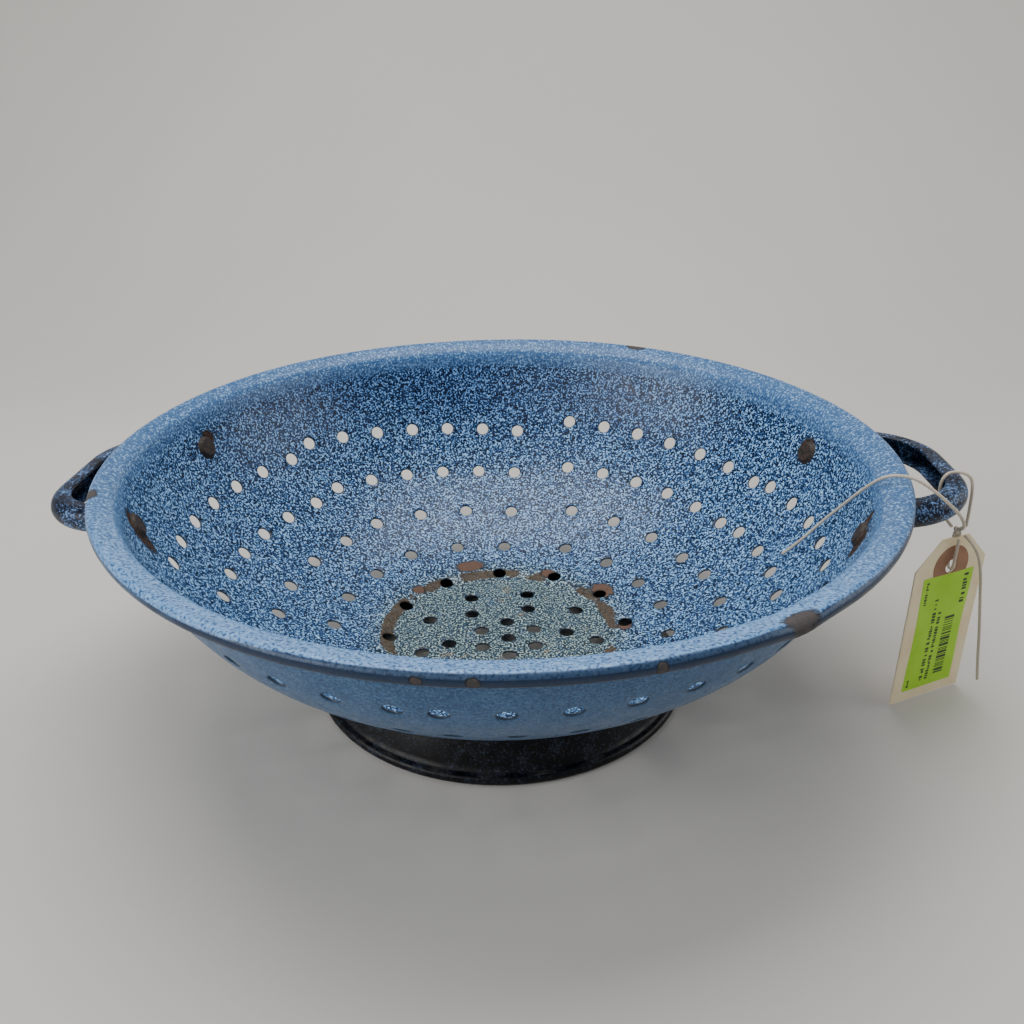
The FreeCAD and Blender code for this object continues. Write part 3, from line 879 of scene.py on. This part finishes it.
def chip_distance(nodes, chips, height, turn, arc_radius, uneven):
    """Nearest chip, 1 at its outline, less inside."""
    nearest = None
    for degrees, level, half_round, half_up in chips:
        across = nodes.times(nodes.math("SUBTRACT", turn, degrees),
                            math.radians(1) * arc_radius / half_round)
        up = nodes.times(nodes.math("SUBTRACT", height, level), 1 / half_up)
        reach = nodes.math("SQRT", nodes.plus(nodes.times(across, across),
                                              nodes.times(up, up)))
        nearest = reach if nearest is None else nodes.math("MINIMUM", nearest, reach)
    return nodes.plus(nearest, uneven)


def rust_color(nodes):
    """Brown iron oxide with darker and more orange parts."""
    return nodes.mix(nodes.fade(nodes.noise(700, 4, 0.7), 0.38, 0.72), (0.010, 0.007, 0.006),
                     (0.085, 0.040, 0.022))


def speckle(nodes, light, middle, dark, amount_light, amount_dark, scale=1.0):
    """Spattered enamel: pale and dark flecks about half a millimetre across on a middle colour."""
    fine = nodes.noise(1250 * scale, 1.0, 0.5)
    coarse = nodes.noise(520 * scale, 2.0, 0.55)
    blend = nodes.plus(nodes.times(fine, 0.84), nodes.times(coarse, 0.16))
    pale = nodes.fade(blend, 0.59 - 0.08 * amount_light, 0.62 - 0.08 * amount_light)
    deep = nodes.fade(blend, 0.44 + 0.06 * amount_dark, 0.41 + 0.06 * amount_dark)
    color = nodes.mix(deep, middle, dark)
    return nodes.mix(pale, color, light), blend


def enamel_bowl():
    """The bowl's enamel: speckled inside, calmer on the lip and outside, with rust and chips, and painted
    shade and highlight.
    """
    nodes = Nodes("speckled_blue_enamel")
    radius, height, turn = nodes.polar()
    outside = nodes.attribute("face_side")
    edge = nodes.attribute("hole_edge")
    cloud = nodes.noise(26, 3, 0.55)
    patchy = nodes.noise(75, 3, 0.6)
    # inside: middle blue, with painted shade darkening the upper back wall, greener and duller on the floor
    back = nodes.fade(turn, 20.0, 70.0)
    back_left = nodes.fade(turn, 178.0, 140.0)
    upper = nodes.fade(height, 46.0, 80.0)
    # painted shade: the upper back wall's middle and pale flecks are made darker
    painted_shade_back_wall = nodes.times(nodes.times(back, back_left), upper)
    painted_shade_back_wall = nodes.times(painted_shade_back_wall, nodes.fade(cloud, 0.3, 0.7, 0.55, 1.1))
    middle = nodes.mix(painted_shade_back_wall, (0.022, 0.098, 0.285), (0.009, 0.046, 0.160))
    on_floor = nodes.fade(radius, 62.0, 40.0)
    middle = nodes.mix(on_floor, middle, (0.036, 0.100, 0.165))
    middle = nodes.mix(nodes.fade(patchy, 0.45, 0.75, 0.0, 0.5), middle, (0.045, 0.125, 0.29))
    light = nodes.mix(on_floor, (0.33, 0.58, 0.90), (0.50, 0.62, 0.56))
    light = nodes.mix(painted_shade_back_wall, light, (0.17, 0.36, 0.70))
    dark = nodes.mix(on_floor, (0.0015, 0.005, 0.018), (0.008, 0.012, 0.014))
    inner, grain = speckle(nodes, light, middle, dark, 0.45, 0.9)
    # lip and roll: paler, with streaks that run outwards and a painted highlight along the front
    lip_zone = nodes.times(nodes.fade(radius, 131.5, 137.5), nodes.fade(height, 88.0, 91.0))
    streaks = nodes.noise(330, 3, 0.65)
    lip_tone_and_painted_highlight = nodes.mix(nodes.fade(streaks, 0.35, 0.7), (0.034, 0.110, 0.275), (0.075, 0.180, 0.375))
    # painted highlight: the front of the lip is lightened towards pale blue
    front = nodes.times(nodes.fade(turn, -20.0, -55.0), nodes.fade(turn, -168.0, -135.0))
    lip_tone_and_painted_highlight = nodes.mix(nodes.times(front, 0.8), lip_tone_and_painted_highlight, (0.165, 0.350, 0.68))
    lip_color, _ = speckle(nodes, (0.25, 0.43, 0.72), lip_tone_and_painted_highlight, (0.034, 0.105, 0.26), 0.2, 0.1, 0.9)
    color = nodes.mix(lip_zone, inner, lip_color)
    # outside: slate blue with a finer, closer mottle
    outer_middle = nodes.mix(nodes.fade(patchy, 0.35, 0.7), (0.040, 0.112, 0.250), (0.056, 0.142, 0.295))
    outer, _ = speckle(nodes, (0.082, 0.180, 0.34), outer_middle, (0.030, 0.082, 0.18), 0.3, 0.35)
    # painted shadow: the outside just under the lip is darkened
    painted_shadow_under_lip = nodes.times(nodes.fade(height, 86.0, 92.0), outside)
    outer = nodes.mix(nodes.times(painted_shadow_under_lip, 0.55), outer, (0.025, 0.045, 0.085))
    color = nodes.mix(nodes.fade(outside, 0.4, 0.6), color, outer)
    # painted shade: a thin dark line along the lower outer edge of the roll
    shade_line_radius = nodes.math("SUBTRACT", radius, nodes.times(nodes.noise(60, 2), 1.2))
    line = nodes.times(nodes.fade(shade_line_radius, 144.7, 145.2), nodes.fade(height, 97.6, 96.6))
    color = nodes.mix(nodes.times(line, 0.85), color, (0.010, 0.022, 0.055))
    # hole edges are thin, dark enamel
    rim = nodes.fade(edge, 0.55, 0.95)
    color = nodes.mix(nodes.times(rim, 0.9), color, (0.016, 0.026, 0.045))
    # rust along the crease, and stains round the floor's holes
    rust = rust_color(nodes)
    inside = nodes.math("SUBTRACT", 1.0, outside)
    crease_place = nodes.math("ABSOLUTE", nodes.math("SUBTRACT", radius, 46.6))
    wide = nodes.fade(crease_place, 5.6, 0.4)
    ring_break = nodes.fade(nodes.noise(58, 2, 0.5), 0.3, 0.56)
    crumbs = nodes.noise(640, 3, 0.7)
    ring_mask = nodes.times(wide, ring_break)
    ring_mask = nodes.fade(nodes.plus(ring_mask, nodes.times(crumbs, 0.8)), 0.92, 1.12)
    ring_mask = nodes.times(ring_mask, inside)
    olive = nodes.mix(nodes.noise(300, 2), (0.020, 0.014, 0.009), (0.12, 0.080, 0.042))
    color = nodes.mix(nodes.times(ring_mask, 0.92), color, olive)
    stain = nodes.times(nodes.fade(radius, 44.0, 36.0), nodes.fade(nodes.noise(95, 3, 0.6), 0.5, 0.72))
    stain = nodes.fade(nodes.plus(nodes.times(stain, 0.6),
                                  nodes.times(crumbs, 0.8)), 0.74, 0.95)
    color = nodes.mix(nodes.times(nodes.times(stain, inside), 0.55), color,
                      (0.2, 0.155, 0.085))
    # chips down to the steel; those on the rim are greyer
    uneven = nodes.times(nodes.math("SUBTRACT", nodes.noise(420, 3, 0.6), 0.5), 0.75)
    floor_chip = chip_distance(nodes, FLOOR_CHIPS, radius, turn, 52.0, uneven)
    wall_chip = chip_distance(nodes, WALL_CHIPS, height, turn, 131.0, uneven)
    floor_chip = nodes.plus(floor_chip, nodes.fade(height, 30.0, 32.0, 0.0, NOT_HERE))
    wall_chip = nodes.plus(wall_chip, nodes.fade(height, 66.0, 64.0, 0.0, NOT_HERE))
    chip = nodes.math("MINIMUM", floor_chip, wall_chip)
    chip = nodes.plus(chip, nodes.times(outside, NOT_HERE))
    rim_chip = chip_distance(nodes, RIM_CHIPS, radius, turn, 145.0, uneven)
    rim_chip = nodes.plus(rim_chip, nodes.fade(height, 92.0, 90.0, 0.0, NOT_HERE))
    chip = nodes.math("MINIMUM", chip, rim_chip)
    bare = nodes.fade(chip, 1.0, 0.9)
    halo = nodes.fade(chip, 1.32, 1.0)
    color = nodes.mix(nodes.times(halo, 0.85), color, (0.012, 0.014, 0.02))
    floor_part = nodes.fade(height, 30.0, 26.0)
    bare_color = nodes.mix(floor_part, rust, nodes.mix(0.8, rust, (0.15, 0.085, 0.062)))
    at_rim = nodes.fade(height, 90.0, 92.0)
    bare_color = nodes.mix(nodes.times(at_rim, 0.6), bare_color, (0.085, 0.082, 0.088))
    color = nodes.mix(bare, color, bare_color)
    worn = nodes.math("MAXIMUM", bare, nodes.times(ring_mask, 0.8))
    gloss = nodes.fade(nodes.noise(180, 3, 0.6), 0.3, 0.7, 0.26, 0.42)
    roughness = nodes.math("ADD", gloss, nodes.times(worn, 0.5), clamp=True)
    surface = nodes.bump(nodes.noise(240, 2, 0.5), 0.00018, 0.35)
    surface = nodes.bump(grain, 0.00004, 0.6, surface)
    pit = nodes.math("SUBTRACT", 1.0, bare)
    surface = nodes.bump(nodes.plus(pit, nodes.times(nodes.noise(900, 3), 0.25)), 0.00035, 0.8,
                         surface)
    return nodes.finish(color, roughness, surface, Specular_IOR_Level=0.3, Coat_Weight=0.04,
                        Coat_Roughness=0.14)


def enamel_dark(name, base, light, amount, haze):
    """Near-black navy enamel with paler flecks and a thin haze."""
    nodes = Nodes(name)
    fine = nodes.noise(1250, 2, 0.62)
    patch = nodes.noise(110, 3, 0.6)
    flecks = nodes.fade(nodes.plus(nodes.times(fine, 0.75), nodes.times(patch, amount)),
                        0.56, 0.68)
    color = nodes.mix(nodes.fade(nodes.noise(300, 3), 0.35, 0.7), base,
                      tuple(channel * 2.0 for channel in base))
    color = nodes.mix(nodes.times(nodes.fade(patch, 0.46, 0.68), haze), color, light)
    color = nodes.mix(flecks, color, light)
    worn = nodes.fade(nodes.noise(150, 4, 0.65), 0.66, 0.7)
    color = nodes.mix(nodes.times(worn, 0.75), color, (0.03, 0.022, 0.018))
    roughness = nodes.fade(nodes.noise(220, 3), 0.3, 0.7, 0.3, 0.5)
    surface = nodes.bump(nodes.noise(260, 2), 0.00015, 0.4)
    surface = nodes.bump(fine, 0.00005, 0.5, surface)
    return nodes.finish(color, roughness, surface, Specular_IOR_Level=0.24, Coat_Weight=0.02,
                        Coat_Roughness=0.15)


def rivet_material():
    """Enamelled heads chipped to rust in the middle."""
    nodes = Nodes("chipped_rivet_heads")
    rust = nodes.mix(nodes.fade(nodes.noise(620, 4, 0.7), 0.35, 0.7), (0.007, 0.005, 0.004),
                     (0.050, 0.026, 0.016))
    crumbs = nodes.noise(900, 3, 0.7)
    color = nodes.mix(nodes.fade(crumbs, 0.66, 0.74), rust, (0.020, 0.032, 0.060))
    surface = nodes.bump(nodes.noise(800, 4, 0.65), 0.0003, 0.8)
    return nodes.finish(color, nodes.fade(crumbs, 0.3, 0.7, 0.8, 0.5), surface)


def steel_material():
    nodes = Nodes("drawn_wire")
    color = nodes.mix(nodes.fade(nodes.noise(300, 4), 0.4, 0.65), (0.18, 0.16, 0.15), (0.1, 0.055, 0.035))
    surface = nodes.bump(nodes.noise(900, 3), 0.0001, 0.6)
    return nodes.finish(color, nodes.fade(nodes.noise(200, 2), 0.3, 0.7, 0.35, 0.7), surface, Metallic=0.9)


def paper(name, base, darker, fibre=0.5, rough=0.85):
    """Matte paper with fibres, slight blotches and soft surface relief."""
    nodes = Nodes(name)
    blotch = nodes.noise(70, 3, 0.6)
    fibres = nodes.noise(1400, 4, 0.7, distortion=1.2)
    color = nodes.mix(nodes.fade(blotch, 0.35, 0.7), base, darker)
    color = nodes.mix(nodes.times(nodes.fade(fibres, 0.56, 0.68), fibre), color, darker)
    surface = nodes.bump(fibres, 0.00004, 0.6)
    surface = nodes.bump(nodes.noise(90, 2), 0.0003, 0.3, surface)
    return nodes.finish(color, nodes.fade(blotch, 0.3, 0.7, rough - 0.1, rough + 0.05), surface)


def cotton():
    nodes = Nodes("twisted_cotton")
    fibres = nodes.noise(2600, 4, 0.7, distortion=0.8)
    slow = nodes.noise(120, 2)
    color = nodes.mix(nodes.fade(fibres, 0.35, 0.7), (0.66, 0.6, 0.5), (0.42, 0.35, 0.26))
    color = nodes.mix(nodes.times(nodes.fade(slow, 0.4, 0.7), 0.4), color, (0.5, 0.43, 0.33))
    surface = nodes.bump(fibres, 0.0001, 0.9)
    return nodes.finish(color, 0.92, surface, Sheen_Weight=0.3)


def ink():
    nodes = Nodes("label_ink")
    color = nodes.mix(nodes.fade(nodes.noise(1500, 3), 0.45, 0.62), (0.014, 0.02, 0.012), (0.05, 0.075, 0.025))
    return nodes.finish(color, 0.6)


def assign(obj, material):
    obj.data.materials.clear()
    obj.data.materials.append(material)


assign(bowl, enamel_bowl())
assign(foot, enamel_dark("dark_enamel_foot", (0.0006, 0.0007, 0.0014), (0.024, 0.033, 0.056), 0.34, 0.10))
handle_finish = enamel_dark("dark_enamel_handles", (0.0015, 0.003, 0.011), (0.13, 0.25, 0.50), 0.34, 0.08)
for name in ("handle_right", "handle_left"):
    assign(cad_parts[name], handle_finish)
rivet_finish = rivet_material()
for name in ("rivet_right_a", "rivet_right_b", "rivet_left_a", "rivet_left_b"):
    assign(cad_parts[name], rivet_finish)
assign(wire, steel_material())
assign(card, paper("manila_card", (0.92, 0.80, 0.55), (0.84, 0.70, 0.45)))
patch_finish = paper("brown_patch", (0.36, 0.20, 0.12), (0.26, 0.13, 0.08))
assign(patch_front, patch_finish)
assign(patch_back, patch_finish)
assign(label, paper("green_label", (0.40, 0.76, 0.022), (0.35, 0.69, 0.016), 0.25, 0.6))
assign(print_marks, ink())
string_finish = cotton()
for piece in (loop_cord, long_cord, short_cord, strand, knot):
    assign(piece, string_finish)


# ---- stage: a pale sweep, a soft light overhead, one from each side and a weak one in front ----------

def make_stage():
    """A pale paper sweep: flat under the colander, curving up far behind it."""
    mesh = bmesh.new()
    bend_start, bend, bend_steps = 0.35, 0.45, 14
    profile = [(-1.4, 0.0), (-0.6, 0.0), (0.0, 0.0), (bend_start, 0.0)]
    for step in range(1, bend_steps + 1):
        angle = math.radians(90 * step / bend_steps)
        profile.append((bend_start + bend * math.sin(angle), bend * (1 - math.cos(angle))))
    profile.append((bend_start + bend, 1.6))
    rows = []
    for x in (-1.8, 1.8):
        rows.append([mesh.verts.new((x, y, z)) for y, z in profile])
    for index in range(len(profile) - 1):
        mesh.faces.new((rows[0][index], rows[1][index], rows[1][index + 1], rows[0][index + 1]))
    sweep = from_bmesh("sweep", mesh, turn_outward=False)
    nodes = Nodes("pale_sweep")
    color = nodes.mix(nodes.fade(nodes.noise(3.0, 2), 0.3, 0.7), (0.56, 0.545, 0.52), (0.585, 0.57, 0.545))
    nodes.finish(color, nodes.fade(nodes.noise(40, 2), 0.3, 0.7, 0.7, 0.8),
                 nodes.bump(nodes.noise(700, 3), 0.0001, 0.2))
    assign(sweep, nodes.material)


def area_light(name, place, target, size, size_y, watts, color):
    """A rectangular soft light that looks at a target."""
    data = bpy.data.lights.new(name, "AREA")
    data.shape = "RECTANGLE"
    data.size = size
    data.size_y = size_y
    data.energy = watts
    data.color = color
    light = bpy.data.objects.new(name, data)
    SCENE.collection.objects.link(light)
    light.location = place
    light.rotation_mode = "QUATERNION"
    light.rotation_quaternion = (Vector(target) - Vector(place)).to_track_quat("-Z", "Y")


make_stage()
area_light("overhead", (-0.06, 0.16, 0.84), (0.0, 0.0, 0.0), 0.8, 0.6, 7.2, (1.0, 0.985, 0.955))
area_light("side_left", (-0.95, -0.55, 0.55), (-0.2, -0.15, 0.0), 0.9, 0.7, 7.6, (1.0, 0.99, 0.965))
area_light("side_right", (1.1, 0.1, 0.5), (0.1, 0.0, 0.0), 0.9, 0.7, 4.0, (1.0, 0.99, 0.965))
area_light("fill", (-0.4, -0.9, 0.75), (0.0, 0.0, 0.05), 0.9, 0.6, 1.5, (1.0, 0.99, 0.97))
world = bpy.data.worlds.new("studio")
SCENE.world = world
world.use_nodes = True
background = world.node_tree.nodes["Background"]
background.inputs["Color"].default_value = (0.86, 0.87, 0.88, 1.0)
background.inputs["Strength"].default_value = 0.27
